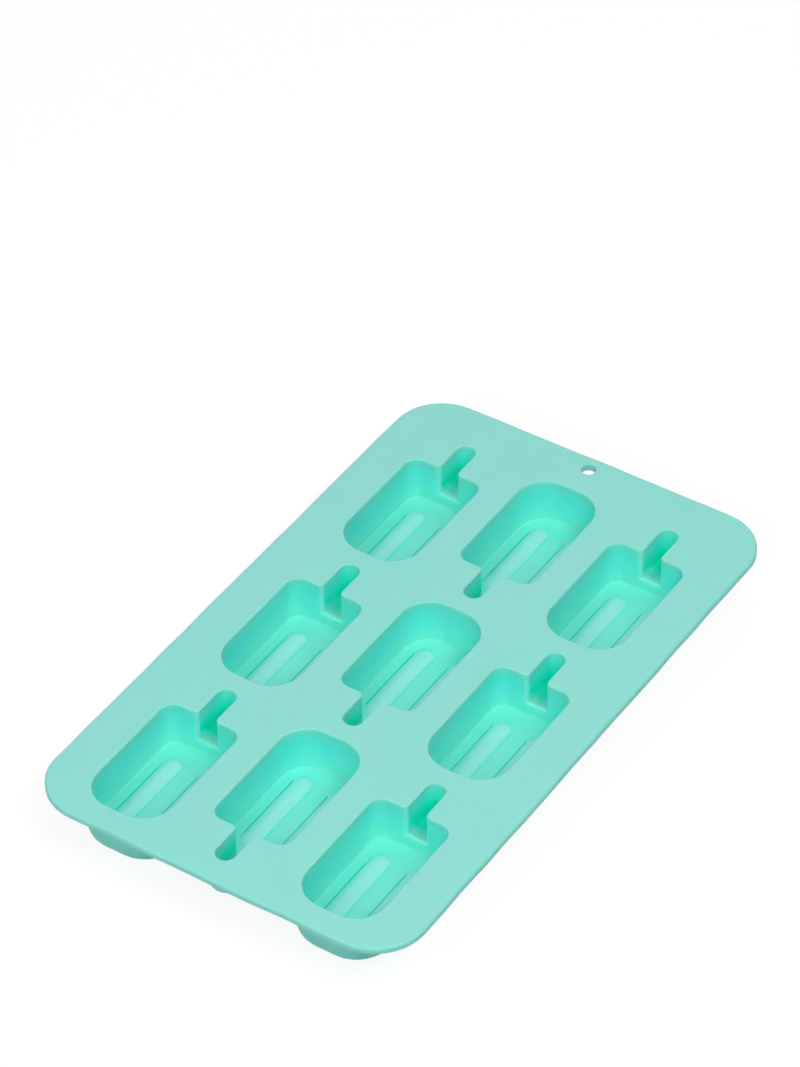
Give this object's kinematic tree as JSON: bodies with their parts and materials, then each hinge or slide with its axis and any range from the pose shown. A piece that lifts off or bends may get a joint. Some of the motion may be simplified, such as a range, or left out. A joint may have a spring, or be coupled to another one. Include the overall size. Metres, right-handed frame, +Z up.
{
  "type": "ice pop mould",
  "caption": "Flat soft tray of ice pop cups, each with ribs on its floor and a channel for its stick, hanging below a thin flange with a hanging hole.",
  "frame": {"origin": "on the resting plane under the middle of the flange", "axes": "+X across the tray, +Y along it towards the hanging hole, +Z up"},
  "size_m": [0.18, 0.3, 0.024],
  "materials": {
    "silicone": "satin, slightly translucent"
  },
  "bodies": {
    "root": {"ice_pop_tray": "silicone"}
  },
  "joints": []
}
